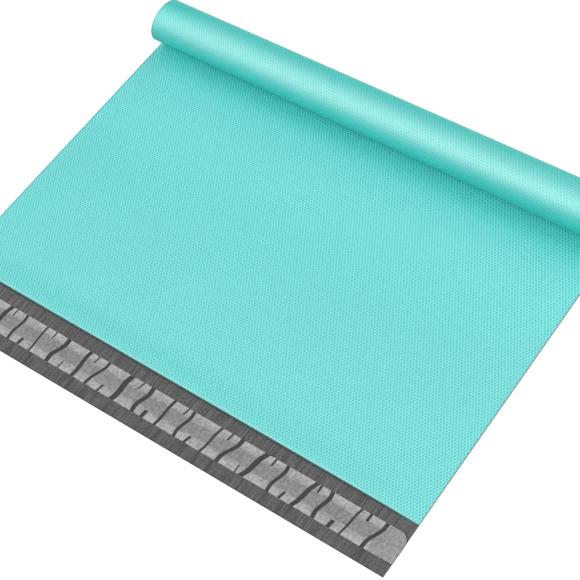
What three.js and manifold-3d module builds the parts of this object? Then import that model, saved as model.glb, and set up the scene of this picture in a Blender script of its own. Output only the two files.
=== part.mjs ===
// Poly mailer bag: one folded film laid flat with its closed end rolled up, an adhesive band
// and a release liner on the flap. Millimetres, +Z up, +X across the bag, -Y towards the flap.
import * as THREE from "three";
import { mergeVertices } from "three/addons/utils/BufferGeometryUtils.js";
import Module from "manifold-3d";

const wasm = await Module();
wasm.setup();

// Film bag
const BAG_WIDTH = 370;
const FLAP_LENGTH = 40;
const FLAT_LENGTH = 233; // mouth edge to the axis of the roll
const ROLLED_LENGTH = 247; // axis of the roll to the bottom fold, along the film
const FILM_GAUGE = 0.07;
const POCKET_GAP = 0.3; // air between the front and back panels
const SIDE_SEAL = 6; // welded band along each side

// Rolled end
const ROLL_RADIUS = 17.5; // back panel's radius where it leaves the flat part
const ROLL_BORE_RADIUS = 12; // back panel's radius at the bottom fold
const SEGMENTS_PER_TURN = 40;
const FOLD_SEGMENTS = 6;

// Adhesive band on the flap's inner face
const ADHESIVE_WIDTH = 9;
const ADHESIVE_GAUGE = 0.1;
const ADHESIVE_STOP = 7; // bare length at the right end, so that the liner can be gripped

// Release liner over the adhesive
const LINER_WIDTH = 20.6;
const LINER_GAUGE = 0.06;
const LINER_SETBACK = 10; // mouth edge to the liner's near edge
const LINER_CORNER_RADIUS = 7; // the pull corner, at the right end
const DRAPE_CLEARANCE = 0.3; // liner bends this far outside the adhesive's edge
const DRAPE_RUN = 0.8; // length of the liner's slope from adhesive to flap

// Marks across the liner: full scores and short edge nicks, in sets that repeat along it
const SCORE_DEPTH = 0.03;
const SCORE_WIDTH = 2.7;
const SCORE_SLANT = 3; // sideways run of a mark over the liner's width
const SCORE_BOW = 0.9; // sideways swing of a full score's curve
const SCORE_STEPS = 8; // straight stretches in that curve
const NICK_WIDTH = 1.9;
const NICK_LENGTH = 5.5;
const MARK_SET = 35; // length of one set of marks
const MARK_DRIFT = 1.2; // most that a mark is out of its place
const MARK_LEAN = 0.12; // most that a mark is turned, in radians
const MARK_SPREAD = 0.45; // share by which a mark is wider or narrower than usual
const LEAN_BEAT = 1.9; // steps of the uneven lean and spread from one mark to the next
const SPREAD_BEAT = 0.8;
const PULL_TAB_LENGTH = 18; // plain right end of the liner
const CUT_OVERRUN = 1; // cutters reach this far past what they cut

// Values that follow from the ones above
const STACK = 2 * FILM_GAUGE + POCKET_GAP;
const TOTAL_ANGLE = ROLLED_LENGTH / ((ROLL_RADIUS + ROLL_BORE_RADIUS) / 2);
const RADIUS_DROP = (ROLL_RADIUS - ROLL_BORE_RADIUS) / TOTAL_ANGLE;
const SPIRAL_SEGMENTS = Math.ceil((SEGMENTS_PER_TURN * TOTAL_ANGLE) / (2 * Math.PI));
const FAR_SIDE = Math.max(...rolledPath(0).map((point) => point.x));
const MIDDLE_Y = (FAR_SIDE - FLAP_LENGTH) / 2;
const LINER_FAR = -LINER_SETBACK - LINER_WIDTH;
const LINER_MIDDLE = -LINER_SETBACK - LINER_WIDTH / 2;

// Solid from a closed geometry
function solid(geometry) {
  const bare = geometry.clone();
  bare.deleteAttribute("normal");
  bare.deleteAttribute("uv");
  const merged = mergeVertices(bare, 1e-4);
  return new wasm.Manifold(
    new wasm.Mesh({
      numProp: 3,
      vertProperties: new Float32Array(merged.attributes.position.array),
      triVerts: new Uint32Array(merged.index.array),
    }),
  );
}

// Geometry from a solid
function geometryOf(body) {
  const mesh = body.getMesh();
  const geometry = new THREE.BufferGeometry();
  geometry.setAttribute("position", new THREE.BufferAttribute(mesh.vertProperties, 3));
  geometry.setIndex(new THREE.BufferAttribute(mesh.triVerts, 1));
  geometry.computeVertexNormals();
  return geometry;
}

// Profile points [y, z] run along X from low to high
function alongX(points, low, high) {
  const shape = new THREE.Shape(points);
  const geometry = new THREE.ExtrudeGeometry(shape, { depth: high - low, bevelEnabled: false });
  const turn = new THREE.Matrix4().makeBasis(
    new THREE.Vector3(0, 1, 0),
    new THREE.Vector3(0, 0, 1),
    new THREE.Vector3(1, 0, 0),
  );
  geometry.applyMatrix4(turn);
  geometry.translate(low, -MIDDLE_Y, 0);
  return solid(geometry);
}

// Plan outline in X and Y raised along Z from low to high
function raised(shape, low, high) {
  const geometry = new THREE.ExtrudeGeometry(shape, {
    depth: high - low,
    bevelEnabled: false,
    curveSegments: 10,
  });
  geometry.translate(0, -MIDDLE_Y, low);
  return solid(geometry);
}

// Point of the rolled film, turned by angle from where it leaves the flat part
function rolledPoint(angle, inset) {
  const radius = ROLL_RADIUS - RADIUS_DROP * angle - inset;
  const y = FLAT_LENGTH + radius * Math.sin(angle);
  const z = ROLL_RADIUS - radius * Math.cos(angle);
  return new THREE.Vector2(y, z);
}

// The rolled path at one depth inside the stack of panels
function rolledPath(inset) {
  const points = [];
  for (let i = 0; i <= SPIRAL_SEGMENTS; i++) {
    points.push(rolledPoint((TOTAL_ANGLE * i) / SPIRAL_SEGMENTS, inset));
  }
  return points;
}

// Half round that turns from the back panel to the front panel at the bottom fold
function foldPath(radius) {
  const centre = rolledPoint(TOTAL_ANGLE, STACK / 2);
  const outward = new THREE.Vector2(Math.sin(TOTAL_ANGLE), -Math.cos(TOTAL_ANGLE));
  const forward = new THREE.Vector2(Math.cos(TOTAL_ANGLE), Math.sin(TOTAL_ANGLE));
  const points = [];
  for (let i = 1; i < FOLD_SEGMENTS; i++) {
    const turn = (Math.PI * i) / FOLD_SEGMENTS;
    const point = centre.clone();
    point.addScaledVector(outward, radius * Math.cos(turn));
    point.addScaledVector(forward, radius * Math.sin(turn));
    points.push(point);
  }
  return points;
}

// Both panels and the flap as one stack, before the pocket is opened
function stackProfile() {
  return [
    new THREE.Vector2(-FLAP_LENGTH, 0),
    ...rolledPath(0),
    ...foldPath(STACK / 2),
    ...rolledPath(STACK).reverse(),
    new THREE.Vector2(0, STACK),
    new THREE.Vector2(0, FILM_GAUGE),
    new THREE.Vector2(-FLAP_LENGTH, FILM_GAUGE),
  ];
}

// The air space between the panels, open at the mouth
function pocketProfile() {
  return [
    new THREE.Vector2(0, FILM_GAUGE),
    ...rolledPath(FILM_GAUGE),
    ...foldPath(POCKET_GAP / 2),
    ...rolledPath(FILM_GAUGE + POCKET_GAP).reverse(),
    new THREE.Vector2(0, FILM_GAUGE + POCKET_GAP),
    new THREE.Vector2(-CUT_OVERRUN, FILM_GAUGE + POCKET_GAP / 2),
  ];
}

// Liner profile between two heights above what it lies on
function drapeProfile(low, high) {
  const onFlap = FILM_GAUGE;
  const onAdhesive = FILM_GAUGE + ADHESIVE_GAUGE;
  const crest = ADHESIVE_WIDTH / 2 + DRAPE_CLEARANCE;
  const foot = crest + DRAPE_RUN;
  const edge = LINER_WIDTH / 2;
  const line = [
    [-edge, onFlap],
    [-foot, onFlap],
    [-crest, onAdhesive],
    [crest, onAdhesive],
    [foot, onFlap],
    [edge, onFlap],
  ];
  const under = line.map(([y, z]) => new THREE.Vector2(LINER_MIDDLE + y, z + low));
  const over = line.map(([y, z]) => new THREE.Vector2(LINER_MIDDLE + y, z + high));
  return [...under, ...over.reverse()];
}

// Plan of the liner with its rounded pull corner
function linerPlan() {
  const right = BAG_WIDTH / 2;
  const near = -LINER_SETBACK;
  const shape = new THREE.Shape();
  shape.moveTo(-right, LINER_FAR);
  shape.lineTo(right, LINER_FAR);
  shape.lineTo(right, near - LINER_CORNER_RADIUS);
  shape.absarc(
    right - LINER_CORNER_RADIUS,
    near - LINER_CORNER_RADIUS,
    LINER_CORNER_RADIUS,
    0,
    Math.PI / 2,
    false,
  );
  shape.lineTo(-right, near);
  shape.closePath();
  return shape;
}

// Uneven sway from -1 to 1 that goes on from one mark to the next
function swing(index, beat) {
  return Math.sin((index + 1) * beat);
}

// Plan of a slanted, bowed mark between two offsets from the liner's middle
function markPlan({ width, low, high, bow }) {
  const edge = LINER_WIDTH / 2;
  const steps = bow === 0 ? 1 : SCORE_STEPS;
  const left = [];
  const right = [];
  for (let i = 0; i <= steps; i++) {
    const y = low + ((high - low) * i) / steps;
    const x = (SCORE_SLANT * y) / LINER_WIDTH + bow * Math.sin((Math.PI * y) / edge);
    left.push(new THREE.Vector2(x - width / 2, y));
    right.push(new THREE.Vector2(x + width / 2, y));
  }
  return [...left, ...right.reverse()];
}

// The marks of one set: where each starts as a share of the set, and its shape
function markKinds() {
  const past = LINER_WIDTH / 2 + CUT_OVERRUN;
  const reach = LINER_WIDTH / 2 - NICK_LENGTH;
  return [
    { place: 0, beat: 2.4, width: SCORE_WIDTH, low: -past, high: past, bow: SCORE_BOW },
    { place: 0.44, beat: 3.7, width: SCORE_WIDTH, low: -past, high: past, bow: -SCORE_BOW / 2 },
    { place: 0.21, beat: 5.3, width: NICK_WIDTH, low: reach, high: past, bow: 0 },
    { place: 0.72, beat: 7.1, width: NICK_WIDTH, low: -past, high: -reach, bow: 0 },
  ];
}

// All marks as one cutter, each unevenly moved, turned and stretched
function scoreMarks(low, high) {
  const first = BAG_WIDTH / 2 - PULL_TAB_LENGTH - SCORE_WIDTH / 2;
  const sets = Math.floor((first + BAG_WIDTH / 2) / MARK_SET);
  const middle = new THREE.Vector2();
  const cutters = [];
  for (const kind of markKinds()) {
    for (let i = 0; i < sets; i++) {
      const x = first - (i + kind.place) * MARK_SET + MARK_DRIFT * swing(i, kind.beat);
      const lean = MARK_LEAN * swing(i, kind.beat + LEAN_BEAT);
      const stretch = 1 + MARK_SPREAD * swing(i, kind.beat + SPREAD_BEAT);
      const plan = markPlan(kind).map((point) =>
        new THREE.Vector2(point.x * stretch, point.y)
          .rotateAround(middle, lean)
          .add(new THREE.Vector2(x, LINER_MIDDLE)),
      );
      cutters.push(raised(new THREE.Shape(plan), low, high));
    }
  }
  return cutters.reduce((all, one) => all.add(one));
}

// Bag film
const half = BAG_WIDTH / 2;
const pocket = alongX(pocketProfile(), -half + SIDE_SEAL, half - SIDE_SEAL);
const bagFilm = alongX(stackProfile(), -half, half).subtract(pocket);

// Adhesive band
const adhesiveLow = LINER_MIDDLE - ADHESIVE_WIDTH / 2;
const adhesiveHigh = LINER_MIDDLE + ADHESIVE_WIDTH / 2;
const adhesiveStrip = alongX(
  [
    new THREE.Vector2(adhesiveLow, FILM_GAUGE),
    new THREE.Vector2(adhesiveHigh, FILM_GAUGE),
    new THREE.Vector2(adhesiveHigh, FILM_GAUGE + ADHESIVE_GAUGE),
    new THREE.Vector2(adhesiveLow, FILM_GAUGE + ADHESIVE_GAUGE),
  ],
  -half,
  half - ADHESIVE_STOP,
);

// Release liner
const linerTop = FILM_GAUGE + ADHESIVE_GAUGE + LINER_GAUGE + CUT_OVERRUN;
const scored = scoreMarks(-CUT_OVERRUN, linerTop).intersect(
  alongX(drapeProfile(LINER_GAUGE - SCORE_DEPTH, LINER_GAUGE + CUT_OVERRUN), -half, half),
);
const releaseLiner = alongX(drapeProfile(0, LINER_GAUGE), -half, half)
  .intersect(raised(linerPlan(), -CUT_OVERRUN, linerTop))
  .subtract(scored);

// Named meshes
function piece(name, body, colour, roughness) {
  const material = new THREE.MeshStandardMaterial({ color: colour, roughness, metalness: 0 });
  const mesh = new THREE.Mesh(geometryOf(body), material);
  mesh.name = name;
  return mesh;
}

const bag = new THREE.Group();
bag.name = "poly_mailer_bag";
bag.add(piece("bag_film", bagFilm, 0x7cdbd7, 0.42));
bag.add(piece("adhesive_strip", adhesiveStrip, 0x8c8c8c, 0.5));
bag.add(piece("release_liner", releaseLiner, 0xa8a8a8, 0.38));

export default bag;
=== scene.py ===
"""Poly mailer bag: a folded teal film with a rolled closed end and a peel-off liner on its flap."""

import math

import bmesh
import bpy
from bpy.props import FloatProperty, FloatVectorProperty, PointerProperty
from mathutils import Matrix, Vector


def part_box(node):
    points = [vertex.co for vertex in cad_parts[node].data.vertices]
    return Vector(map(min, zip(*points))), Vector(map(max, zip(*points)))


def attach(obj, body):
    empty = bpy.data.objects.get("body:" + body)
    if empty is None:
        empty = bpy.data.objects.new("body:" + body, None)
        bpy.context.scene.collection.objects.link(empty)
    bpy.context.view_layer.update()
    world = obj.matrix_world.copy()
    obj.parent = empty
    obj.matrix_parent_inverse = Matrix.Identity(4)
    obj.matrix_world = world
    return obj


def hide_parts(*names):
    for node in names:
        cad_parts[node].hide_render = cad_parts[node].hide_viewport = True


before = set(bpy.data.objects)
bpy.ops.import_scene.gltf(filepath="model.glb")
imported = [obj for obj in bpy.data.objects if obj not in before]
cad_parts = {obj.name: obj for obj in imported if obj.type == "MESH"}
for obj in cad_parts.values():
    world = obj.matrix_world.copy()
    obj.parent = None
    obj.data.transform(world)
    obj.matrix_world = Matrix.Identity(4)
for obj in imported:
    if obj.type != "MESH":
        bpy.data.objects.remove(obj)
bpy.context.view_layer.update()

bl_info = {
    "name": "Poly Mailer Bag",
    "version": (1, 0, 0),
    "blender": (4, 5, 0),
    "location": "View3D > Sidebar > Mailer",
    "description": "Builds a rolled poly mailer bag around its CAD frame",
    "category": "Object",
}

FILM_LOW, FILM_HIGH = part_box("bag_film")
LINER_LOW, LINER_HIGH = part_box("release_liner")
LINER_MIDDLE = (LINER_LOW.y + LINER_HIGH.y) / 2
LINER_EDGE = (LINER_HIGH.y - LINER_LOW.y) / 2  # from the liner's middle line to its edges
MM = 0.001
PLACE = "film_place"  # per-point attribute: across the bag, along the film from the mouth, panel
SCORED = "scored"  # attribute that marks the faces left by a score
LEAN = "lean"  # attribute that holds how far each mark across the liner leans


def length_setting(label, description, default):
    """A property that holds a length."""
    return FloatProperty(name=label, description=description, default=default, unit="LENGTH")


def share_setting(label, description, default):
    """A property that holds a share of something."""
    return FloatProperty(name=label, description=description, default=default, subtype="FACTOR")


def angle_setting(label, description, default):
    """A property that holds an angle in radians."""
    return FloatProperty(name=label, description=description, default=default, subtype="ANGLE")


def colour_setting(label, description, default):
    """A property that holds a colour."""
    return FloatVectorProperty(
        name=label, description=description, default=default, subtype="COLOR", min=0, max=1)


def light_setting(label, description, default):
    """A property that holds a light's strength, where 1 is plain white."""
    return FloatProperty(name=label, description=description, default=default)


class FilmSettings(bpy.types.PropertyGroup):
    """Sizes and finish of the folded film"""

    width: length_setting("Width", "Bag width between the side cuts", FILM_HIGH.x - FILM_LOW.x)
    flap_length: length_setting("Flap Length", "Back panel past the mouth", 40 * MM)
    flat_length: length_setting("Flat Length", "Mouth edge to the roll's axis", 233 * MM)
    rolled_length: length_setting(
        "Rolled Length", "Film from the roll's axis to the bottom fold", 247 * MM)
    gauge: length_setting("Film Gauge", "Thickness of one layer", 0.07 * MM)
    pocket_gap: length_setting("Pocket Gap", "Air between the panels", 0.3 * MM)
    side_seal: length_setting("Side Seal", "Welded band along each side", 6 * MM)
    roll_radius: length_setting(
        "Roll Radius", "Back panel's radius where it leaves the flat part", 17.5 * MM)
    bore_radius: length_setting("Bore Radius", "Back panel's radius at the bottom fold", 12 * MM)
    roll_taper: share_setting("Roll Taper", "Share by which the roll is wider at its right end", 0.03)
    roll_shift: length_setting("Roll Shift", "How far the roll is wound to the right", 2.3 * MM)
    roll_slant: share_setting(
        "Roll Slant", "How far the roll's left end is wound out of square", 0.115)
    lip_length: length_setting("Lip Length", "Rounded edge of the front panel at the mouth", 1.8 * MM)
    lip_lift: length_setting("Lip Lift", "Height by which the mouth gapes", 1.1 * MM)
    mouth_skew: length_setting("Mouth Skew", "How far the mouth's cut is out of square", 1.9 * MM)
    flap_skew: length_setting("Flap Skew", "How far the flap's cut is out of square", -1.3 * MM)
    ripple: length_setting("Ripple", "Height of the slow waves in the flat film", 0.25 * MM)
    # The dark line is painted shade under the mouth's lip
    cut_width: length_setting("Cut Width", "Width of the dark line along the mouth's cut", 0.75 * MM)
    dot_pitch: length_setting("Dot Pitch", "Distance between the dots of the printed ground", 2.15 * MM)
    dot: colour_setting("Dot", "Darker teal of the dots", (0.0, 0.52, 0.495))
    near_dot: colour_setting(
        "Near Dot", "Teal of the dots where the flat film nears the roll", (0.0, 0.57, 0.545))
    ground: colour_setting("Ground", "Teal between the dots", (0.14, 0.82, 0.785))
    # Painted shade: the roll is given a deeper teal than the flat film
    wound: colour_setting(
        "Roll Shade", "Deeper teal between the dots where many layers lie in the roll", (0.105, 0.7, 0.65))
    # Painted shade along the roll's far side
    far: colour_setting("Far Shade", "Greener teal between the dots on the roll's far side", (0.0, 0.82, 0.71))
    # Painted shade at the roll's two ends, which makes their teal purer
    end_shade: colour_setting(
        "End Shade", "Purer teal between the dots at the roll's ends, where the welds lie", (0.0, 0.72, 0.66))
    # Painted light: bright teal that lifts the roll's shade on the front panel close before it
    drawn: colour_setting(
        "Shade Lift", "Bright teal of the front panel where it is drawn up to the roll", (0.2, 1.0, 0.98))
    # Painted shade: deepest teal low on the roll, down towards its crease with the front panel
    pressed: colour_setting(
        "Crease Shade", "Deepest teal, low on the roll where its layers are pressed together", (0.0, 0.46, 0.42))
    # Painted highlight along the front panel beside the mouth's cut
    lip_highlight: colour_setting("Lip Highlight", "Paler stretched film beside the mouth's cut", (0.27, 0.66, 0.645))
    # Painted shade: a dark line under the mouth's lip and along the side cuts
    cut: colour_setting("Edge Shade", "Dark line where the film was cut", (0.028, 0.19, 0.183))
    inside: colour_setting("Inside", "Grey inner layer, seen on the flap", (0.097, 0.094, 0.095))


class LinerSettings(bpy.types.PropertyGroup):
    """Sizes and finish of the adhesive's release liner"""

    gauge: length_setting("Liner Gauge", "Thickness of the liner", 0.06 * MM)
    adhesive_gauge: length_setting("Adhesive Gauge", "Height of the band under the liner", 0.1 * MM)
    adhesive_width: length_setting("Adhesive Width", "Width of the band under the liner", 9 * MM)
    drape: length_setting("Drape", "Slope of the liner from the band to the flap", 0.8 * MM)
    clearance: length_setting("Clearance", "Liner bends this far outside the band", 0.3 * MM)
    corner_radius: length_setting("Corner Radius", "Rounding of the pull corner", 7 * MM)
    tab_length: length_setting("Tab Length", "Plain end that is gripped", 18 * MM)
    tab_lift: length_setting("Tab Lift", "How far the pull tab's end curls up", 0.9 * MM)
    score_width: length_setting("Score Width", "Width of a full score", 2.7 * MM)
    score_depth: length_setting("Score Depth", "Depth of a score", 0.03 * MM)
    score_slant: length_setting("Score Slant", "Sideways run of a score over the liner's width", 3 * MM)
    score_bow: length_setting("Score Bow", "Sideways swing of a score's curve", 0.9 * MM)
    nick_width: length_setting("Nick Width", "Width of an edge nick", 1.9 * MM)
    nick_length: length_setting("Nick Length", "Reach of an edge nick", 5.5 * MM)
    mark_set: length_setting("Mark Set", "Length of one set of marks", 35 * MM)
    mark_drift: length_setting("Mark Drift", "Most that a mark is out of its place", 1.2 * MM)
    mark_lean: angle_setting("Mark Lean", "Most that a mark is turned", 0.12)
    mark_spread: share_setting(
        "Mark Spread", "Share by which a mark is wider or narrower than usual", 0.45)
    film: colour_setting("Film", "Milky grey of the loose margins", (0.41, 0.41, 0.41))
    wetted: colour_setting(
        "Wetted", "Darker grey where the liner lies on the adhesive", (0.285, 0.285, 0.285))
    score: colour_setting("Score", "Dark floor of the scores", (0.028, 0.028, 0.028))
    adhesive: colour_setting("Adhesive", "Hot melt under the liner", (0.26, 0.25, 0.23))


class StageSettings(bpy.types.PropertyGroup):
    """Camera, floor and lights"""

    azimuth: angle_setting("Azimuth", "Camera's turn about the bag", math.radians(45.708))
    elevation: angle_setting("Elevation", "Camera's height angle", math.radians(55.167))
    roll: angle_setting("Roll", "Camera's turn about its own axis", math.radians(-12.549))
    distance: length_setting("Distance", "Camera to its target", 1.00413)
    target: FloatVectorProperty(
        name="Target", description="Point at the picture's middle", subtype="TRANSLATION",
        default=(0.02413, -0.01029, 0.0))
    lens: FloatProperty(
        name="Lens", description="Focal length in millimetres on a 36 mm sensor", default=96.393)
    dome_low: light_setting("Dome Low", "Strength of the light dome all round", 0.2)
    front_light: light_setting("Front Light", "Soft light over the flap", 2.06)
    left_light: light_setting("Left Light", "Low soft light past the flap's left corner", 1.023)
    back_light: light_setting("Back Light", "Soft light behind the roll's right end", 1.744)
    top_light: light_setting("Top Light", "Soft light high over the bag's left side", 0.95)
    crown_light: light_setting("Crown Light", "Soft light that shows on the roll's crown", 0.42)


def film_settings():
    return bpy.context.scene.mailer_film


def liner_settings():
    return bpy.context.scene.mailer_liner


def stage_settings():
    return bpy.context.scene.mailer_stage


def labelled(settings, names):
    """Values of some settings, under the labels that the panel shows."""
    properties = settings.bl_rna.properties
    return {properties[name].name: getattr(settings, name) for name in names}


class Bench:
    """Adds nodes to one tree, each input given as a value or as another node's output."""

    def __init__(self, tree):
        self.tree = tree

    def feed(self, socket, value):
        if isinstance(value, bpy.types.NodeSocket):
            self.tree.links.new(value, socket)
        else:
            socket.default_value = value

    def add(self, kind, inputs=None, **settings):
        node = self.tree.nodes.new(kind)
        for name, value in settings.items():
            setattr(node, name, value)
        for name, value in (inputs or {}).items():
            self.feed(node.inputs[name], value)
        return node

    def geometry(self, kind, inputs, **settings):
        return self.add(kind, inputs, **settings).outputs["Geometry"]

    def math(self, operation, *values):
        node = self.add("ShaderNodeMath", operation=operation)
        for socket, value in zip(node.inputs, values):
            self.feed(socket, value)
        return node.outputs[0]

    def chain(self, operation, values):
        result = values[0]
        for value in values[1:]:
            result = self.math(operation, result, value)
        return result

    def total(self, *values):
        return self.chain("ADD", values)

    def product(self, *values):
        return self.chain("MULTIPLY", values)

    def minus(self, first, second):
        return self.math("SUBTRACT", first, second)

    def ramp(self, value, low, high, start, end, smooth=False):
        kind = "SMOOTHSTEP" if smooth else "LINEAR"
        inputs = {"Value": value, "From Min": low, "From Max": high, "To Min": start, "To Max": end}
        node = self.add("ShaderNodeMapRange", inputs, interpolation_type=kind, clamp=True)
        return node.outputs["Result"]

    def rise(self, value, places, peak=1.0):
        return self.ramp(value, *places, 0.0, peak, smooth=True)

    def fall(self, value, places, peak=1.0):
        return self.ramp(value, *places, peak, 0.0, smooth=True)

    def mix(self, factor, first, second):
        node = self.add("ShaderNodeMix", data_type="RGBA")
        self.feed(node.inputs["Factor"], factor)
        self.feed(node.inputs[6], first)
        self.feed(node.inputs[7], second)
        return node.outputs[2]

    def vector(self, x=0.0, y=0.0, z=0.0):
        return self.add("ShaderNodeCombineXYZ", {"X": x, "Y": y, "Z": z}).outputs["Vector"]

    def parts(self, vector):
        return self.add("ShaderNodeSeparateXYZ", {"Vector": vector}).outputs

    def dot(self, vector, direction):
        node = self.add("ShaderNodeVectorMath", operation="DOT_PRODUCT")
        self.feed(node.inputs[0], vector)
        self.feed(node.inputs[1], direction)
        return node.outputs["Value"]

    def noise(self, place, scale, detail=2.0, roughness=0.5):
        inputs = {"Vector": place, "Scale": scale, "Detail": detail, "Roughness": roughness}
        return self.add("ShaderNodeTexNoise", inputs).outputs["Fac"]

    def streaks(self, place, scale):
        """Noise with its own scale in each direction."""
        drawn_out = self.add("ShaderNodeMapping", {"Vector": place, "Scale": scale})
        return self.noise(drawn_out.outputs["Vector"], 1.0)

    def position(self):
        return self.parts(self.add("GeometryNodeInputPosition").outputs["Position"])

    def attribute(self, name, kind):
        node = self.add("GeometryNodeInputNamedAttribute", {"Name": name}, data_type=kind)
        return node.outputs["Attribute"]


WHITE = (1.0, 1.0, 1.0, 1.0)
NOISE_LOW, NOISE_HIGH = 0.3, 0.7  # range in which most of a noise lies


def solid_colour(colour, share=1.0):
    """A colour made darker or lighter by a share, with full opacity."""
    return (*(share * value for value in colour), 1.0)


def span(start, *offsets):
    """The places that lie at some offsets from a start."""
    return [start + offset for offset in offsets]


def new_material(name, roughness, refraction=1.5):
    """A material with its shader ready, and a bench for the rest of its nodes."""
    material = bpy.data.materials.new(name)
    material.use_nodes = True
    tree = material.node_tree
    shader = tree.nodes["Principled BSDF"]
    shader.inputs["Roughness"].default_value = roughness
    shader.inputs["IOR"].default_value = refraction
    return material, shader, Bench(tree)


def add_relief(bench, shader, height, strength, distance, **settings):
    bump = bench.add("ShaderNodeBump", {
        "Height": height, "Strength": strength, "Distance": distance}, **settings)
    bench.feed(shader.inputs["Normal"], bump.outputs["Normal"])


def spread(bench, noise, start, end):
    """A noise's usual range, spread from a start to an end value."""
    return bench.ramp(noise, NOISE_LOW, NOISE_HIGH, start, end)


def object_place(bench):
    return bench.add("ShaderNodeTexCoord").outputs["Object"]


def film_place(bench):
    """The film's own coordinates, and their parts: X across, Y along and Z the panel."""
    place = bench.add("ShaderNodeAttribute", attribute_name=PLACE).outputs["Vector"]
    return place, bench.parts(place)


def soft_band(bench, value, rise, fall, peak):
    """A strength that grows to its peak over one range of the value and fades over another."""
    return bench.product(bench.rise(value, rise, peak), bench.fall(value, fall))


# Zones of the teal film, most of them painted shade or painted light: the film's places at which they start
# and end, and their strengths
LIP_HIGHLIGHT_END, LIP_HIGHLIGHT_SHARE = (1.0 * MM, 2.8 * MM), 0.6  # painted highlight behind the mouth's cut
SIDE_SHADE_START, SIDE_SHADE_SHARE = (-1.0 * MM, -0.6 * MM), 0.75  # painted shade line before a side cut
END_SHADE_START, END_SHADE_SHARE = (-45 * MM, -5 * MM), 0.75  # painted shade at the roll's ends, before a side cut
NEAR_START = (-3.8, -1.0)  # before the roll's axis, in roll radii
LIFT_BEFORE_START, LIFT_BEFORE_SHARE = (-7, -3.5), 0.35  # painted light before the roll's axis, in roll radii
LIFT_AT_ROLL_START, LIFT_AT_ROLL_RUN = -1.2, 10 * MM  # painted light: roll radii before the axis, and the length over which it grows
FAR_SHADE_START, FAR_SHADE_END = (5 * MM, 25 * MM), (42 * MM, 56 * MM)  # painted shade on the roll's far side, after the roll's axis
CREASE_SHADE_START, CREASE_SHADE_SHARE = (-18 * MM, 0.0), 0.5  # painted shade low on the roll, about the roll's foot
CREASE_SHADE_AT_ENDS = 0.4  # share of the painted crease shade that is left at the roll's ends
SHINE_START, SHINE_SHARE = (-14.5 * MM, 3.5 * MM), 0.7  # about the roll's foot
TURN_END = (8 * MM, 18 * MM)  # after the roll's foot


def film_zones(bench, film):
    """The film's place and the strengths of the zones in which its teal changes, most of them painted shade
    or painted light.
    """
    place, parts = film_place(bench)
    along, from_middle = parts["Y"], bench.math("ABSOLUTE", parts["X"])
    front = bench.math("GREATER_THAN", parts["Z"], 0.5)
    axis, radius, side_cut = film.flat_length, film.roll_radius, film.width / 2
    foot = axis + 1.5 * math.pi * radius  # where the outer turn comes down to the front panel
    turn_end = span(foot, *TURN_END)

    near_roll = bench.rise(along, span(axis, *(radius * radii for radii in NEAR_START)))
    # painted light on the front panel before the roll
    lift_before_start = span(axis, *(radius * radii for radii in LIFT_BEFORE_START))
    lift_before_roll = bench.rise(along, lift_before_start, LIFT_BEFORE_SHARE)
    lift_at_roll = bench.rise(along, span(axis + LIFT_AT_ROLL_START * radius, 0.0, LIFT_AT_ROLL_RUN))
    lip_highlight = bench.fall(along, LIP_HIGHLIGHT_END, LIP_HIGHLIGHT_SHARE)
    wound = bench.rise(along, (axis, axis + radius))
    # painted shade at the roll's two ends
    end_shade = bench.product(bench.rise(from_middle, span(side_cut, *END_SHADE_START)), wound)
    # painted shade low on the roll, towards the crease
    pressed = soft_band(bench, along, span(foot, *CREASE_SHADE_START), turn_end, CREASE_SHADE_SHARE)
    return {
        "place": place,
        "near_roll": bench.product(near_roll, front),
        # painted light on the front panel before the roll
        "drawn": bench.product(bench.math("MAXIMUM", lift_at_roll, lift_before_roll), front),
        "lip_highlight": bench.product(lip_highlight, front),
        "wound": wound,
        # painted shade on the roll's far side
        "far": soft_band(bench, along, span(axis, *FAR_SHADE_START), span(axis, *FAR_SHADE_END), 1.0),
        "end_shade": end_shade,
        # painted crease shade, weaker at the roll's ends
        "pressed": bench.product(pressed, bench.ramp(end_shade, 0.0, 1.0, 1.0, CREASE_SHADE_AT_ENDS)),
        "shine": soft_band(bench, along, span(foot, *SHINE_START), turn_end, SHINE_SHARE),
        "side": bench.ramp(from_middle, *span(side_cut, *SIDE_SHADE_START), 0.0, SIDE_SHADE_SHARE),
    }


PEARL_REFRACTION = 2.6  # pearl pigment in the teal layer
FLAT_PEARL, WOUND_PEARL = 0.4, 0.2  # pearl in the dots on the flat film and on the roll
NEAR_PEARL = 0.32  # pearl that is added where the flat film nears the roll
FINE_GRAIN, DOT_PATCHES, CLOUDS = 900.0, 300.0, 14.0  # noise scales on the teal film
CLOUD_SHADE, GRAIN_SHADE = 0.05, 0.3  # most that clouds and grain darken the teal
FAINT_DOT = 0.7  # strength of the dots in their faintest patches
SOFT_DOT, CRISP_DOT = (-1.0, 1.6), (-0.4, 0.6)  # lattice heights over which a dot's edge grows
GRAIN_RELIEF = 0.3  # height of the grain beside that of the dots
TEAL_ROUGHNESS = (0.38, 0.47)  # from the smoothest grain to the dullest


def dot_lattice(bench, place, pitch):
    """Crossed waves, from -1.5 to 2.5, that peak on a staggered lattice with rows across the bag."""
    number = 4 * math.pi / (math.sqrt(3) * pitch)
    waves = []
    for degrees, weight in ((90, 0.5), (30, 1.0), (150, 1.0)):
        angle = math.radians(degrees)
        heading = Vector((math.cos(angle), math.sin(angle), 0)) * number
        waves.append(bench.product(bench.math("COSINE", bench.dot(place, heading)), weight))
    return bench.total(*waves)


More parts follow.
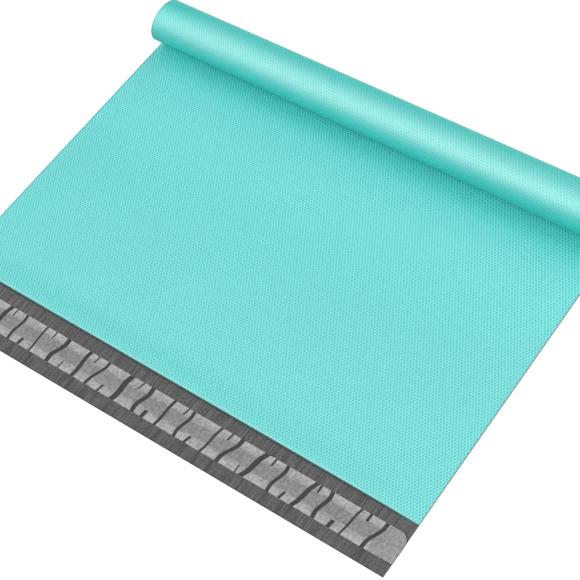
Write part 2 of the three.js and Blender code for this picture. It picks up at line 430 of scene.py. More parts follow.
def printed_dots(bench, film, zones):
    """Strength of the dots: a little patchy, with crisper edges near the roll and on it."""
    crisp = bench.math("MAXIMUM", zones["near_roll"], zones["wound"])
    edge = [bench.ramp(crisp, 0.0, 1.0, soft, sharp) for soft, sharp in zip(SOFT_DOT, CRISP_DOT)]
    lattice = dot_lattice(bench, zones["place"], film.dot_pitch)
    depth = spread(bench, bench.noise(zones["place"], DOT_PATCHES), FAINT_DOT, 1.0)
    return bench.product(bench.ramp(lattice, *edge, 0.0, 1.0), depth)


def ground_teal(bench, film, zones):
    """Teal between the dots: painted shade makes it deeper on the roll and on its far side and purer at its
    ends, and painted light makes it brighter close before it.
    """
    colour = bench.mix(zones["wound"], solid_colour(film.ground), solid_colour(film.wound))
    colour = bench.mix(zones["far"], colour, solid_colour(film.far))
    colour = bench.mix(bench.product(zones["end_shade"], END_SHADE_SHARE), colour, solid_colour(film.end_shade))
    return bench.mix(zones["drawn"], colour, solid_colour(film.drawn))


def outer_film_material():
    """Satin teal film with a fine lattice of darker dots, paler beside the mouth in a painted highlight,
    with painted shade and light about the roll.
    """
    film = film_settings()
    material, shader, bench = new_material("teal_film", 0.42, PEARL_REFRACTION)
    zones = film_zones(bench, film)
    dots = printed_dots(bench, film, zones)
    dot = bench.mix(zones["near_roll"], solid_colour(film.dot), solid_colour(film.near_dot))
    colour = bench.mix(dots, ground_teal(bench, film, zones), dot)

    grain = bench.noise(zones["place"], FINE_GRAIN)
    cloud = bench.noise(zones["place"], CLOUDS, detail=3.0)
    shade = bench.total(spread(bench, cloud, 0.0, CLOUD_SHADE), spread(bench, grain, 0.0, GRAIN_SHADE))
    colour = bench.mix(shade, colour, solid_colour(film.dot))
    # painted shade low on the roll and along the side cuts, and a painted highlight beside the mouth
    for zone, tint in (("pressed", film.pressed), ("lip_highlight", film.lip_highlight), ("side", film.cut)):
        colour = bench.mix(zones[zone], colour, solid_colour(tint))
    bench.feed(shader.inputs["Base Color"], colour)

    plain_pearl = bench.ramp(zones["wound"], 0.0, 1.0, FLAT_PEARL, WOUND_PEARL)
    dot_pearl = bench.total(plain_pearl, bench.product(zones["near_roll"], NEAR_PEARL))
    pearl = bench.total(zones["shine"], bench.product(dots, dot_pearl))
    bench.feed(shader.inputs["Metallic"], pearl)
    bench.feed(shader.inputs["Roughness"], spread(bench, grain, *TEAL_ROUGHNESS))
    relief = bench.total(dots, bench.product(grain, GRAIN_RELIEF))
    add_relief(bench, shader, relief, 1.0, 0.05 * MM, invert=True)
    return material


EDGE_SHADE_DARKEST = 0.6  # darkest grain of the painted shade line, as a share of its colour


def edge_shade_material():
    """Dull dark line of painted shade along the mouth's cut, under its lip."""
    film = film_settings()
    material, shader, bench = new_material("edge_shade_film", 0.6)
    place = film_place(bench)[0]
    shade = spread(bench, bench.noise(place, FINE_GRAIN), 0.0, 1.0)
    colour = bench.mix(shade, solid_colour(film.cut, EDGE_SHADE_DARKEST), solid_colour(film.cut))
    bench.feed(shader.inputs["Base Color"], colour)
    return material


GREY_GRAIN = 1100.0  # noise scale on the grey film
GREY_LINES, GREY_RUBS = (900.0, 60.0, 1.0), (190.0, 25.0, 1.0)  # noise scales across and along
GREY_RANGE = (0.78, 1.22)  # sum of lines and grain between the darkest and the lightest grey
GREY_DARK, GREY_LIGHT = 0.45, 1.5  # shares of the inside's colour
RUB_RANGE, RUB_SHARE = (0.45, 0.7), 0.8
RUB_END, RUB_LEFT = -28 * MM, 0.3  # where the flap's rub marks have faded, and to which share
FLAP_CUT_END, FLAP_CUT_SHARE = (0.5 * MM, 1.1 * MM), 0.6  # behind the flap's cut
FLAP_CUT = (0.03, 0.03, 0.03)  # dark line along the flap's cut


def inner_film_material():
    """Dark grey inner layer with the draw lines, grain and rub marks of blown film."""
    film = film_settings()
    material, shader, bench = new_material("grey_film", 0.5)
    place, parts = film_place(bench)
    along = parts["Y"]
    shade = bench.total(bench.streaks(place, GREY_LINES), bench.noise(place, GREY_GRAIN))
    shade = bench.ramp(shade, *GREY_RANGE, 0.0, 1.0)
    darker = solid_colour(film.inside, GREY_DARK)
    colour = bench.mix(shade, darker, solid_colour(film.inside, GREY_LIGHT))

    flap_end = -film.flap_length
    liner_start = LINER_LOW.y - FILM_LOW.y + flap_end
    margin = bench.ramp(along, liner_start, RUB_END, 1.0, RUB_LEFT)
    rubs = bench.rise(bench.streaks(place, GREY_RUBS), RUB_RANGE, RUB_SHARE)
    colour = bench.mix(bench.product(rubs, margin), colour, darker)
    cut_edge = bench.ramp(along, *span(flap_end, *FLAP_CUT_END), FLAP_CUT_SHARE, 0.0)
    colour = bench.mix(cut_edge, colour, solid_colour(FLAP_CUT))
    bench.feed(shader.inputs["Base Color"], colour)
    add_relief(bench, shader, shade, 0.3, 0.03 * MM)
    return material


LINER_PATCHES, LINER_GRAIN = 90.0, 520.0  # noise scales on the liner
LINER_LINES = (700.0, 70.0, 1.0)  # noise scales of its draw lines, along and across
RAGGED = 1.6 * MM  # most that the wetted band's edge wanders
BAND_END = (-0.4 * MM, 0.6 * MM)  # about the adhesive's edge
TAB_BAND, TAB_RUN = 0.6, 1.5 * MM  # strength of the band on the tab, and the length of its change
LOOSE_GAP, LOOSE_LIGHT = 1 * MM, 1.2  # from the adhesive to the pale margin, and its lightness
MOTTLE_RANGE, MOTTLE_SHARE = (1.6, 2.4), 0.4
GRAIN_WEIGHT = 2.0  # of the grain in the mottle


def liner_material():
    """Milky release film: paler at its loose margins, darker where it lies on the adhesive."""
    liner = liner_settings()
    material, shader, bench = new_material("liner_film", 0.4)
    place = object_place(bench)
    spot = bench.parts(place)
    from_middle = bench.math("ABSOLUTE", bench.minus(spot["Y"], LINER_MIDDLE))
    half_band = liner.adhesive_width / 2
    patches = bench.noise(place, LINER_PATCHES)
    ragged = bench.total(from_middle, spread(bench, patches, -RAGGED, RAGGED))
    band = bench.fall(ragged, span(half_band, *BAND_END))
    on_tab = bench.ramp(spot["X"], *span(LINER_HIGH.x - liner.tab_length, 0.0, TAB_RUN), 0.0, 1.0)
    band = bench.ramp(on_tab, 0.0, 1.0, band, TAB_BAND)
    loose = bench.ramp(from_middle, half_band + LOOSE_GAP, LINER_EDGE, 0.0, 1.0)
    colour = bench.mix(loose, solid_colour(liner.film), solid_colour(liner.film, LOOSE_LIGHT))
    colour = bench.mix(band, colour, solid_colour(liner.wetted))

    lines = bench.streaks(place, LINER_LINES)
    grain = bench.noise(place, LINER_GRAIN, detail=1.0)
    mottle = bench.math("MULTIPLY_ADD", grain, GRAIN_WEIGHT, bench.total(lines, patches))
    mottle = bench.ramp(mottle, *MOTTLE_RANGE, 0.0, MOTTLE_SHARE)
    colour = bench.mix(mottle, colour, solid_colour(liner.score))
    bench.feed(shader.inputs["Base Color"], colour)
    add_relief(bench, shader, lines, 0.2, 0.05 * MM)
    return material


SCORE_GRAIN, SCORE_RANGE, SCORE_LIGHT = 600.0, (0.35, 0.65), 1.5


def score_material():
    """Dark floor of the scores in the liner."""
    liner = liner_settings()
    material, shader, bench = new_material("score_floor", 0.6)
    shade = bench.ramp(bench.noise(object_place(bench), SCORE_GRAIN), *SCORE_RANGE, 0.0, 1.0)
    colour = bench.mix(shade, solid_colour(liner.score), solid_colour(liner.score, SCORE_LIGHT))
    bench.feed(shader.inputs["Base Color"], colour)
    return material


MELT_LUMPS, MELT_DARK = 350.0, 0.7


def adhesive_material():
    """Tacky hot melt with a slightly lumpy surface."""
    liner = liner_settings()
    material, shader, bench = new_material("hot_melt", 0.3)
    lumps = bench.noise(object_place(bench), MELT_LUMPS, detail=3.0)
    colour = bench.mix(lumps, solid_colour(liner.adhesive, MELT_DARK), solid_colour(liner.adhesive))
    bench.feed(shader.inputs["Base Color"], colour)
    add_relief(bench, shader, lumps, 0.4, 0.1 * MM)
    return material


FLOOR_HALF = 4.0  # metres from the floor's middle to its edge
FLOOR_GREY, FLOOR_GLOW = (0.62, 0.62, 0.62), 0.5  # the glow lifts the floor to white in the picture


def floor_material():
    """Pale floor that shows white to the camera and still keeps a shadow."""
    material, shader, bench = new_material("pale_floor", 0.9, 1.1)
    shader.inputs["Base Color"].default_value = solid_colour(FLOOR_GREY)
    seen = bench.add("ShaderNodeLightPath").outputs["Is Camera Ray"]
    shader.inputs["Emission Color"].default_value = WHITE
    bench.feed(shader.inputs["Emission Strength"], bench.product(seen, FLOOR_GLOW))
    return material


SOCKET_KINDS = {
    float: "NodeSocketFloat",
    int: "NodeSocketInt",
    bpy.types.Material: "NodeSocketMaterial",
    bpy.types.Object: "NodeSocketObject",
}


def geometry_tree(name, values):
    """A Geometry Nodes tree with an input for each value; gives the tree, its bench and the inputs."""
    tree = bpy.data.node_groups.new(name, "GeometryNodeTree")
    for way in ("INPUT", "OUTPUT"):
        tree.interface.new_socket(name="Geometry", in_out=way, socket_type="NodeSocketGeometry")
    for label, value in values.items():
        tree.interface.new_socket(name=label, in_out="INPUT", socket_type=SOCKET_KINDS[type(value)])
    bench = Bench(tree)
    given = bench.add("NodeGroupInput").outputs
    return tree, bench, given


def joined(bench, *pieces):
    node = bench.add("GeometryNodeJoinGeometry")
    for piece in pieces:
        bench.feed(node.inputs["Geometry"], piece)
    return node.outputs["Geometry"]


def painted(bench, geometry, material, selection=True):
    """The geometry with a material on all of its faces or on the selected ones."""
    return bench.geometry("GeometryNodeSetMaterial", {
        "Geometry": geometry, "Material": material, "Selection": selection})


def grow_piece(name, tree, values, base=None):
    """Runs a tree and keeps its result as a plain mesh on an object at the origin."""
    piece = bpy.data.objects.new(name, base or bpy.data.meshes.new(name))
    bpy.context.scene.collection.objects.link(piece)
    modifier = piece.modifiers.new(tree.name, "NODES")
    modifier.node_group = tree
    for item in tree.interface.items_tree:
        if item.in_out == "INPUT" and item.name in values:
            modifier[item.identifier] = values[item.name]
    evaluated = piece.evaluated_get(bpy.context.evaluated_depsgraph_get())
    made = bpy.data.meshes.new_from_object(evaluated)
    piece.modifiers.remove(modifier)
    piece.data = made
    made.name = name
    if not made.polygons:
        raise RuntimeError(f"{tree.name} made no faces for {name}")
    return piece


def smooth_with_sharp_rims(mesh, degrees=40):
    mesh.polygons.foreach_set("use_smooth", [True] * len(mesh.polygons))
    mesh.set_sharp_from_angle(angle=math.radians(degrees))


FLAP_ROWS, FLAT_ROWS, ROLL_ROWS, FOLD_ROWS, LIP_ROWS = 12, 56, 170, 10, 12
SEAL_COLUMNS, PANEL_COLUMNS = 6, 56
CLOSE_COLUMNS = 1.5  # seal widths that the closer columns cover
SOFT_SEAL, SEALED_AIR = 3.0, 0.03  # seal widths in which the pocket opens, and its air in the seal
GAPE_END, LIP_DROOP = 22 * MM, 0.35  # reach of the gape, and the share of it lost at the cut
GAPE_SIDES = (4 * MM, 40 * MM)  # distances from the side cuts over which the mouth opens
SKEW_END = 90 * MM  # how far from the mouth its skew reaches
MOUTH_PIVOT, FLAP_PIVOT = -0.48, 0.27  # shares of the width at which the cuts keep their places
WAVE_SCALE, WAVE_ROUGHNESS = 16.0, 0.4
WAVE_START = (4 * MM, 30 * MM)  # behind the mouth
WAVE_END, WAVE_FADE = 45 * MM, 35 * MM  # before the roll's axis, and the length of the fading
SLANT_AHEAD, SLANT_UNDER = 0.6, 0.8  # the direction in which the roll's left end slants
SWAY_ONSET = 2.0  # radians of turn over which the roll shifts
SAME_POINT = 1e-7  # points of the film closer than this are one
FILM_SIZES = (
    "width", "flap_length", "flat_length", "rolled_length", "gauge", "pocket_gap", "side_seal",
    "roll_radius", "roll_taper", "roll_shift", "roll_slant", "lip_length", "lip_lift",
    "mouth_skew", "flap_skew", "ripple", "cut_width",
)


def row_marks():
    """Shares of the grid's rows at which the film's stretches end, from the flap to the lip."""
    rows = (FLAP_ROWS, FLAT_ROWS, ROLL_ROWS, FOLD_ROWS, ROLL_ROWS, FLAT_ROWS, LIP_ROWS)
    marks = [0.0]
    for count in rows:
        marks.append(marks[-1] + count / sum(rows))
    return marks, sum(rows) + 1


def film_across(bench, given, share):
    """Place across the bag, with closer columns in the two side seals."""
    seal_share = SEAL_COLUMNS / (2 * SEAL_COLUMNS + PANEL_COLUMNS)
    band = bench.product(given["Side Seal"], CLOSE_COLUMNS)
    middle = bench.minus(given["Width"], bench.product(band, 2.0))
    return bench.total(
        bench.product(given["Width"], -0.5),
        bench.ramp(share, 0.0, seal_share, 0.0, band),
        bench.ramp(share, seal_share, 1.0 - seal_share, 0.0, middle),
        bench.ramp(share, 1.0 - seal_share, 1.0, 0.0, band),
    )


def film_along(bench, given, share, marks):
    """Distance along the film from the mouth: out on the back panel and home on the front."""
    flap, flat, rolled = given["Flap Length"], given["Flat Length"], given["Rolled Length"]
    lip = given["Lip Length"]
    return bench.total(
        bench.product(flap, -1.0),
        bench.ramp(share, marks[0], marks[1], 0.0, flap),
        bench.ramp(share, marks[1], marks[2], 0.0, flat),
        bench.ramp(share, marks[2], marks[3], 0.0, rolled),
        bench.ramp(share, marks[4], marks[5], 0.0, bench.product(rolled, -1.0)),
        bench.ramp(share, marks[5], marks[6], 0.0, bench.minus(lip, flat)),
        bench.ramp(share, marks[6], marks[7], 0.0, bench.product(lip, -1.0)),
    )


def from_side(bench, given, across):
    """Distance from the nearer side cut."""
    return bench.minus(bench.product(given["Width"], 0.5), bench.math("ABSOLUTE", across))


def pocket_air(bench, given, across):
    """Air between the panels, pressed out in the side seals."""
    seal = given["Side Seal"]
    soft_end = bench.product(seal, SOFT_SEAL)
    open_side = bench.ramp(
        from_side(bench, given, across), seal, soft_end, SEALED_AIR, 1.0, smooth=True)
    return bench.product(given["Pocket Gap"], open_side)


def gaping_lip(bench, given, across, along, panel):
    """Height of the front panel at the mouth: it gapes, then rounds down to its cut edge."""
    gape = bench.fall(along, (0.0, GAPE_END), given["Lip Lift"])
    near_cut = bench.ramp(along, 0.0, given["Lip Length"], 1.0, 0.0)
    fall = bench.product(given["Lip Lift"], LIP_DROOP)
    droop = bench.product(fall, bench.product(near_cut, near_cut))
    open_side = bench.rise(from_side(bench, given, across), GAPE_SIDES)
    return bench.product(bench.product(open_side, panel), bench.minus(gape, droop))


def skewed_cuts(bench, given, across, along, panel):
    """Shift along the bag of the mouth's and the flap's cuts, which are a little out of square."""
    side = bench.math("DIVIDE", across, given["Width"])
    mouth = bench.product(given["Mouth Skew"], bench.minus(side, MOUTH_PIVOT))
    mouth = bench.product(mouth, bench.ramp(along, 0.0, SKEW_END, -1.0, 0.0))
    flap = bench.product(given["Flap Skew"], bench.minus(side, FLAP_PIVOT))
    flap_end = bench.product(given["Flap Length"], -1.0)
    flap = bench.product(flap, bench.ramp(along, flap_end, 0.0, -1.0, 0.0))
    back = bench.minus(1.0, panel)
    return bench.total(bench.product(mouth, panel), bench.product(flap, back))


def slow_waves(bench, given, across, along):
    """Low waves of the flat film, gone at the flap and under the roll."""
    place = bench.vector(across, along)
    noise = bench.noise(place, WAVE_SCALE, detail=1.0, roughness=WAVE_ROUGHNESS)
    near_roll = bench.minus(given["Flat Length"], WAVE_END)
    fall = bench.fall(along, (near_roll, bench.total(near_roll, WAVE_FADE)))
    height = bench.product(noise, given["Ripple"])
    return bench.product(height, bench.product(bench.rise(along, WAVE_START), fall))


def roll_sway(bench, given, right_share, angle, ahead_of_axis, under_axis):
    """Shift of the roll to the right, with its left end wound out of square."""
    tilt = bench.minus(bench.product(ahead_of_axis, SLANT_AHEAD), bench.product(under_axis, SLANT_UNDER))
    left_share = bench.minus(1.0, right_share)
    slant = bench.product(given["Roll Slant"], bench.product(left_share, tilt))
    onset = bench.rise(angle, (0.0, SWAY_ONSET))
    return bench.product(onset, bench.total(given["Roll Shift"], slant))


def mouth_cut(bench, given, outer):
    """Picks the outer faces of the front panel that lie within the cut's width of the mouth."""
    parts = bench.parts(bench.attribute(PLACE, "FLOAT_VECTOR"))
    near = bench.math("LESS_THAN", parts["Y"], given["Cut Width"])
    front = bench.math("GREATER_THAN", parts["Z"], 0.5)
    return bench.product(near, front, outer)


def closed_film(bench, given, lining):
    """The bent lining thickened to the outside, closed along its rims and painted."""
    turned = bench.add("GeometryNodeFlipFaces", {"Mesh": lining}).outputs["Mesh"]
    skin = bench.add("GeometryNodeExtrudeMesh", {
        "Mesh": turned, "Offset Scale": given["Film Gauge"], "Individual": False}).outputs
    both = joined(bench, skin["Mesh"], lining)
    closed = bench.geometry("GeometryNodeMergeByDistance", {"Geometry": both, "Distance": SAME_POINT})
    real = bench.geometry("GeometryNodeRealizeInstances", {"Geometry": closed})
    grey = painted(bench, real, given["Inside"])
    printed = painted(bench, grey, given["Outside"], skin["Top"])
    # the dark line of painted shade under the mouth's lip
    return painted(bench, printed, given["Edge Shade"], mouth_cut(bench, given, skin["Top"]))


def rolled_film_tree(values):
    """One film along a hairpin: flap, back panel, roll, bottom fold, roll and front panel."""
    tree, bench, given = geometry_tree("rolled_film", values)
    marks, rows = row_marks()
    columns = 2 * SEAL_COLUMNS + PANEL_COLUMNS + 1
    grid = bench.add("GeometryNodeMeshGrid", {
        "Size X": 1.0, "Size Y": 1.0, "Vertices X": columns, "Vertices Y": rows}).outputs["Mesh"]
    spot = bench.position()
    across = film_across(bench, given, bench.total(spot["X"], 0.5))
    share = bench.total(spot["Y"], 0.5)
    along = film_along(bench, given, share, marks)
    turn = bench.ramp(share, marks[3], marks[4], 0.0, math.pi)
    panel = bench.math("DIVIDE", turn, math.pi)

    half_air = bench.product(pocket_air(bench, given, across), 0.5)
    folded = bench.minus(1.0, bench.math("COSINE", turn))
    inset = bench.total(given["Film Gauge"], bench.product(half_air, folded))
    ahead = bench.product(half_air, bench.math("SINE", turn))

    right_share = bench.total(bench.math("DIVIDE", across, given["Width"]), 0.5)
    widening = bench.math("MULTIPLY_ADD", right_share, given["Roll Taper"], 1.0)
    radius, drop = bench.product(given["Roll Radius"], widening), given["Radius Drop"]
    wound = bench.math("MAXIMUM", bench.minus(along, given["Flat Length"]), 0.0)
    square = bench.minus(bench.product(radius, radius), bench.product(drop, wound, 2.0))
    radius_here = bench.math("SQRT", square)
    angle = bench.math("DIVIDE", bench.minus(radius, radius_here), drop)
    reach = bench.minus(radius_here, inset)
    sine, cosine = bench.math("SINE", angle), bench.math("COSINE", angle)
    ahead_of_axis, under_axis = bench.product(reach, sine), bench.product(reach, cosine)

    x = bench.total(across, roll_sway(bench, given, right_share, angle, ahead_of_axis, under_axis))
    y = bench.total(
        given["Mouth Y"],
        bench.math("MINIMUM", along, given["Flat Length"]),
        ahead_of_axis,
        bench.product(ahead, cosine),
        skewed_cuts(bench, given, across, along, panel),
    )
    z = bench.total(
        bench.minus(radius, under_axis),
        bench.product(ahead, sine),
        slow_waves(bench, given, across, along),
        gaping_lip(bench, given, across, along, panel),
    )
    placed = bench.geometry("GeometryNodeStoreNamedAttribute", {
        "Geometry": grid, "Name": PLACE, "Value": bench.vector(across, along, panel)},
        data_type="FLOAT_VECTOR", domain="POINT")
    bent = bench.geometry("GeometryNodeSetPosition", {
        "Geometry": placed, "Position": bench.vector(x, y, z)})
    bench.add("NodeGroupOutput", {"Geometry": closed_film(bench, given, bent)})
    return tree


def radius_drop(film):
    """How much the roll's radius falls for each radian of turn."""
    mean_radius = (film.roll_radius + film.bore_radius) / 2
    return (film.roll_radius - film.bore_radius) * mean_radius / film.rolled_length


class MAILER_OT_bag_film(bpy.types.Operator):
    """Build the folded film with its rolled end"""

    bl_idname = "mailer.bag_film"
    bl_label = "Bag Film"

    def execute(self, context):
        film = film_settings()
        values = {
            **labelled(film, FILM_SIZES),
            "Radius Drop": radius_drop(film),
            "Mouth Y": FILM_LOW.y + film.flap_length,
            "Outside": outer_film_material(),
            "Edge Shade": edge_shade_material(),
            "Inside": inner_film_material(),
        }
        piece = grow_piece("mailer_film", rolled_film_tree(values), values)
        smooth_with_sharp_rims(piece.data)
        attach(piece, "root")
        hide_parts("bag_film")
        return {"FINISHED"}


class MAILER_OT_adhesive(bpy.types.Operator):
    """Finish the hot-melt band on the flap"""

    bl_idname = "mailer.adhesive"
    bl_label = "Adhesive Band"

    def execute(self, context):
        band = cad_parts["adhesive_strip"]
        band.data.materials.clear()
        band.data.materials.append(adhesive_material())
        return {"FINISHED"}


MARK_PLACES = {  # share of the set's length before the mark, and the beat of its unevenness
    "Score Cutter": (0.0, 2.4),
    "Slash Cutter": (0.44, 3.7),
    "Nick Cutter": (0.21, 5.3),
    "Tick Cutter": (0.72, 7.1),
}
LEAN_BEAT, SPREAD_BEAT = 1.9, 0.8  # added to a mark's own beat for its lean and its spread
SLIVER = 0.005 * MM  # points of the scored liner closer than this are one
PAST_EDGE = 1 * MM  # how far the cutters reach out of the liner
BODY_STEPS, CORNER_STEPS, CUTTER_STEPS = 60, 10, 10
MARK_SIZES = ("mark_set", "mark_drift", "mark_lean", "mark_spread")


def swing(bench, beat):
    """An uneven sway from -1 to 1 that goes on from one mark to the next."""
    count = bench.total(bench.add("GeometryNodeInputIndex").outputs["Index"], 1.0)
    return bench.math("SINE", bench.product(count, beat))


def scattered_cutters(bench, given, cutter, place, beat):
    """Copies of one cutter along the liner, one in each set, unevenly moved, turned and stretched."""
    start_x = bench.math("MULTIPLY_ADD", given["Mark Set"], -place, given["First X"])
    line = bench.add("GeometryNodeMeshLine", {
        "Count": given["Count"], "Start Location": bench.vector(start_x, given["Middle Y"]),
        "Offset": bench.vector(bench.product(given["Mark Set"], -1.0))}).outputs["Mesh"]
    drift = bench.product(given["Mark Drift"], swing(bench, beat))
    moved = bench.geometry("GeometryNodeSetPosition", {"Geometry": line, "Offset": bench.vector(drift)})
    lean = bench.product(given["Mark Lean"], swing(bench, beat + LEAN_BEAT))
    leaning = bench.geometry("GeometryNodeStoreNamedAttribute", {
        "Geometry": moved, "Name": LEAN, "Value": lean}, data_type="FLOAT", domain="POINT")
    stretch = bench.math("MULTIPLY_ADD", given["Mark Spread"], swing(bench, beat + SPREAD_BEAT), 1.0)
    shape = bench.geometry("GeometryNodeObjectInfo", {"Object": given[cutter]})
    copies = bench.add("GeometryNodeInstanceOnPoints", {
        "Points": leaning, "Instance": shape, "Scale": bench.vector(stretch, 1.0, 1.0)})
    return copies.outputs["Instances"]


def leaning_cutters(bench, given, cutters):
    """Cutters sheared by their lean, so that their floors still follow the drape."""
    real = bench.geometry("GeometryNodeRealizeInstances", {"Geometry": cutters})
    offset = bench.minus(given["Middle Y"], bench.position()["Y"])
    shear = bench.product(bench.attribute(LEAN, "FLOAT"), offset)
    sheared = bench.geometry("GeometryNodeSetPosition", {"Geometry": real, "Offset": bench.vector(shear)})
    return bench.geometry("GeometryNodeRemoveAttribute", {"Geometry": sheared, "Name": LEAN})


def scored_liner_tree(values):
    """Cuts sets of scores and edge nicks along the liner into its upper face."""
    tree, bench, given = geometry_tree("scored_liner", values)
    marks = []
    for cutter, (place, beat) in MARK_PLACES.items():
        marks.append(scattered_cutters(bench, given, cutter, place, beat))
    cutters = leaning_cutters(bench, given, joined(bench, *marks))
    marked = bench.geometry("GeometryNodeStoreNamedAttribute", {
        "Geometry": cutters, "Name": SCORED, "Value": True}, data_type="BOOLEAN", domain="FACE")
    cut = bench.add("GeometryNodeMeshBoolean", {
        "Mesh 1": given["Geometry"], "Mesh 2": marked, "Self Intersection": True},
        operation="DIFFERENCE", solver="EXACT").outputs["Mesh"]
    merged = bench.geometry("GeometryNodeMergeByDistance", {"Geometry": cut, "Distance": SLIVER})
    real = bench.geometry("GeometryNodeRealizeInstances", {"Geometry": merged})
    film = painted(bench, real, given["Film"])
    inked = painted(bench, film, given["Score"], bench.attribute(SCORED, "BOOLEAN"))
    bench.add("NodeGroupOutput", {"Geometry": inked})
    return tree


def drape_rows(liner):
    """Offsets from the liner's middle at which its section bends."""
    crest = liner.adhesive_width / 2 + liner.clearance
    foot = crest + liner.drape
    return [-LINER_EDGE, -foot, -crest, 0.0, crest, foot, LINER_EDGE]


def drape_height(liner, offset):
    """Height of the liner's underside above the flap, at an offset from its middle."""
    crest = liner.adhesive_width / 2 + liner.clearance
    share = (crest + liner.drape - abs(offset)) / liner.drape
    return liner.adhesive_gauge * min(max(share, 0.0), 1.0)


def smooth_step(value):
    value = min(max(value, 0.0), 1.0)
    return value * value * (3 - 2 * value)


def closed_sheet(name, stations):
    """A closed mesh from stations along X, each a row of (lower, upper) points."""
    shape = bmesh.new()
    grid = [[(shape.verts.new(low), shape.verts.new(high)) for low, high in row] for row in stations]
    last_station, last_row = len(grid) - 1, len(grid[0]) - 1
    for i in range(last_station):
        for j in range(last_row):
            corner = (grid[i][j], grid[i + 1][j], grid[i + 1][j + 1], grid[i][j + 1])
            shape.faces.new([pair[1] for pair in corner])
            shape.faces.new([pair[0] for pair in reversed(corner)])
        for j, order in ((0, 1), (last_row, -1)):
            near, far = (grid[i][j], grid[i + 1][j])[::order]
            shape.faces.new((near[0], far[0], far[1], near[1]))
    for i, order in ((0, -1), (last_station, 1)):
        for j in range(last_row):
            near, far = (grid[i][j], grid[i][j + 1])[::order]
            shape.faces.new((near[0], far[0], far[1], near[1]))
    mesh = bpy.data.meshes.new(name)
    shape.to_mesh(mesh)
    shape.free()
    return mesh


def liner_stations(corner_start, radius):
    """Places along X of the liner's sections, closer together on the rounded corner."""
    body_length = corner_start - LINER_LOW.x
    stations = [LINER_LOW.x + body_length * i / BODY_STEPS for i in range(BODY_STEPS + 1)]
    for i in range(1, CORNER_STEPS + 1):
        stations.append(corner_start + radius * math.sin(math.pi / 2 * i / CORNER_STEPS))
    return stations


def liner_sheet(liner):
    """The unscored liner, draped over the adhesive, with a rounded corner on its raised tab."""
    seat = FILM_LOW.z + film_settings().gauge
    radius, right = liner.corner_radius, LINER_HIGH.x
    corner_start = right - radius
    stations = []
    for x in liner_stations(corner_start, radius):
        into_corner = max(x - corner_start, 0.0)
        upper = LINER_EDGE - radius + math.sqrt(max(radius**2 - into_corner**2, 0.0))
        squeeze = (upper + LINER_EDGE) / (2 * LINER_EDGE)
        lift = liner.tab_lift * smooth_step((x - right + liner.tab_length) / liner.tab_length) ** 2
        row = []
        for offset in drape_rows(liner):
            y = LINER_MIDDLE - LINER_EDGE + (offset + LINER_EDGE) * squeeze
            low = seat + drape_height(liner, offset) + lift
            row.append((Vector((x, y, low)), Vector((x, y, low + liner.gauge))))
        stations.append(row)
    return closed_sheet("release_liner_sheet", stations)


def cutter_object(liner, name, width, low, high, bow=0.0):
    """A bowed cutter about the liner's middle, its floor following the drape."""
    seat = FILM_LOW.z + film_settings().gauge + liner.gauge - liner.score_depth
    top = seat + liner.adhesive_gauge + PAST_EDGE
    offsets = {round(low + (high - low) * i / CUTTER_STEPS, 6) for i in range(CUTTER_STEPS + 1)}
    offsets.update(offset for offset in drape_rows(liner) if low < offset < high)
    stations = []
    for side in (-0.5, 0.5):
        row = []
        for offset in sorted(offsets):
            share = offset / LINER_EDGE
            x = liner.score_slant * share / 2 + bow * math.sin(math.pi * share)
            x += side * width
            floor = seat + drape_height(liner, offset)
            row.append((Vector((x, offset, floor)), Vector((x, offset, top))))
        stations.append(row)
    cutter = bpy.data.objects.new(name, closed_sheet(name, stations))
    bpy.context.scene.collection.objects.link(cutter)
    return cutter


def liner_cutters(liner):
    """The four kinds of mark: two bowed scores right across, and a nick at either edge."""
    past = LINER_EDGE + PAST_EDGE
    reach = liner.nick_length - LINER_EDGE
    score, nick, bow = liner.score_width, liner.nick_width, liner.score_bow
    return {
        "Score Cutter": cutter_object(liner, "score_cutter", score, -past, past, bow),
        "Slash Cutter": cutter_object(liner, "slash_cutter", score, -past, past, -bow / 2),
        "Nick Cutter": cutter_object(liner, "nick_cutter", nick, -reach, past),
        "Tick Cutter": cutter_object(liner, "tick_cutter", nick, -past, reach),
    }


class MAILER_OT_release_liner(bpy.types.Operator):
    """Build the scored liner over the adhesive"""

    bl_idname = "mailer.release_liner"
    bl_label = "Release Liner"

    def execute(self, context):
        liner = liner_settings()
        cutters = liner_cutters(liner)
        first = LINER_HIGH.x - liner.tab_length - liner.score_width / 2
        values = {
            **cutters,
            **labelled(liner, MARK_SIZES),
            "Count": math.floor((first - LINER_LOW.x) / liner.mark_set),
            "First X": first,
            "Middle Y": LINER_MIDDLE,
            "Film": liner_material(),
            "Score": score_material(),
        }
        piece = grow_piece("peel_liner", scored_liner_tree(values), values, base=liner_sheet(liner))
        for cutter in cutters.values():
            bpy.data.objects.remove(cutter)
        smooth_with_sharp_rims(piece.data, degrees=20)
        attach(piece, "root")
        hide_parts("release_liner")
        return {"FINISHED"}


def direction_from(azimuth, elevation):
    """Unit vector at a turn about the bag, counted from its flap, and a height angle."""
    level = math.cos(elevation)
    return Vector((math.sin(azimuth) * level, -math.cos(azimuth) * level, math.sin(elevation)))


LIGHT_FOCUS = 8.0  # a higher power makes a smaller light


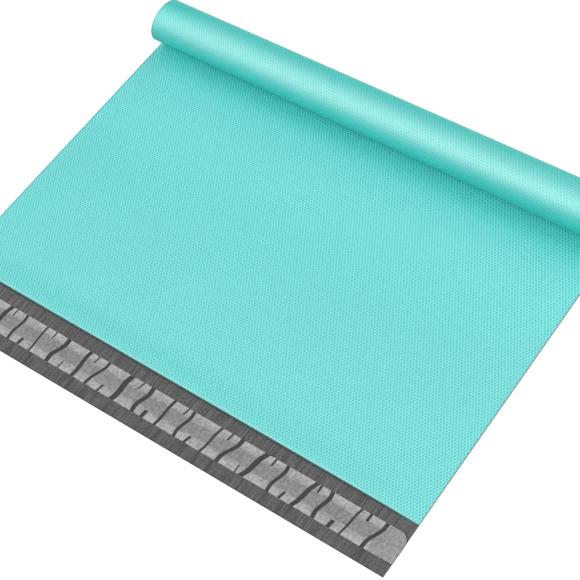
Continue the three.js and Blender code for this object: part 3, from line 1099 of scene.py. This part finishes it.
def light_dome(stage):
    """White dome with five soft lights in it; the camera itself sees plain white."""
    world = bpy.data.worlds.new("light_dome")
    world.use_nodes = True
    bench = Bench(world.node_tree)
    ray = bench.add("ShaderNodeTexCoord").outputs["Generated"]
    lights = (  # degrees of turn and height, and strength
        (0, 50, stage.front_light),
        (315, 15, stage.left_light),
        (150, 40, stage.back_light),
        (270, 65, stage.top_light),
        (315, 55, stage.crown_light),
    )
    strength = stage.dome_low
    for azimuth, elevation, power in lights:
        facing = bench.dot(ray, direction_from(math.radians(azimuth), math.radians(elevation)))
        lobe = bench.math("POWER", bench.math("MAXIMUM", facing, 0.0), LIGHT_FOCUS)
        strength = bench.math("MULTIPLY_ADD", lobe, power, strength)
    seen = bench.add("ShaderNodeLightPath").outputs["Is Camera Ray"]
    sky = world.node_tree.nodes["Background"]
    sky.inputs["Color"].default_value = WHITE
    bench.feed(sky.inputs["Strength"], bench.ramp(seen, 0.0, 1.0, strength, 1.0))
    return world


def camera_frame(stage):
    """Directions from the target to the camera, to its right and up."""
    back = direction_from(stage.azimuth, stage.elevation)
    right = Vector((math.cos(stage.azimuth), math.sin(stage.azimuth), 0.0))
    up = back.cross(right)
    side = right * math.cos(stage.roll) + up * math.sin(stage.roll)
    return back, side, back.cross(side)


class MAILER_OT_stage(bpy.types.Operator):
    """Set up the floor, the lights and the camera"""

    bl_idname = "mailer.stage"
    bl_label = "Stage"

    def execute(self, context):
        stage = stage_settings()
        scene = context.scene
        scene.view_settings.view_transform = "Standard"

        shape = bmesh.new()
        bmesh.ops.create_grid(shape, x_segments=1, y_segments=1, size=FLOOR_HALF)
        mesh = bpy.data.meshes.new("floor")
        shape.to_mesh(mesh)
        shape.free()
        mesh.materials.append(floor_material())
        floor = bpy.data.objects.new("floor", mesh)
        scene.collection.objects.link(floor)

        back, side, up = camera_frame(stage)
        target = Vector(stage.target)
        data = bpy.data.cameras.new("camera")
        data.lens = stage.lens
        camera = bpy.data.objects.new("camera", data)
        turn = Matrix((side, up, back)).transposed().to_4x4()
        camera.matrix_world = Matrix.Translation(target + back * stage.distance) @ turn
        scene.collection.objects.link(camera)
        scene.camera = camera

        scene.world = light_dome(stage)
        return {"FINISHED"}


class MAILER_PT_panel(bpy.types.Panel):
    """The bag's pieces and settings"""

    bl_idname = "MAILER_PT_panel"
    bl_label = "Poly Mailer Bag"
    bl_space_type = "VIEW_3D"
    bl_region_type = "UI"
    bl_category = "Mailer"

    def draw(self, context):
        layout = self.layout
        sections = (
            (film_settings(), ("mailer.bag_film",)),
            (liner_settings(), ("mailer.adhesive", "mailer.release_liner")),
            (stage_settings(), ("mailer.stage",)),
        )
        for settings, operators in sections:
            box = layout.box()
            for name in settings.__annotations__:
                box.prop(settings, name)
            for operator in operators:
                box.operator(operator)


CLASSES = (
    FilmSettings,
    LinerSettings,
    StageSettings,
    MAILER_OT_bag_film,
    MAILER_OT_adhesive,
    MAILER_OT_release_liner,
    MAILER_OT_stage,
    MAILER_PT_panel,
)


def register():
    for cls in CLASSES:
        bpy.utils.register_class(cls)
    bpy.types.Scene.mailer_film = PointerProperty(type=FilmSettings)
    bpy.types.Scene.mailer_liner = PointerProperty(type=LinerSettings)
    bpy.types.Scene.mailer_stage = PointerProperty(type=StageSettings)


def unregister():
    del bpy.types.Scene.mailer_stage
    del bpy.types.Scene.mailer_liner
    del bpy.types.Scene.mailer_film
    for cls in reversed(CLASSES):
        bpy.utils.unregister_class(cls)


def main():
    register()
    bpy.ops.mailer.stage()
    bpy.ops.mailer.bag_film()
    bpy.ops.mailer.adhesive()
    bpy.ops.mailer.release_liner()


if __name__ == "__main__":
    main()
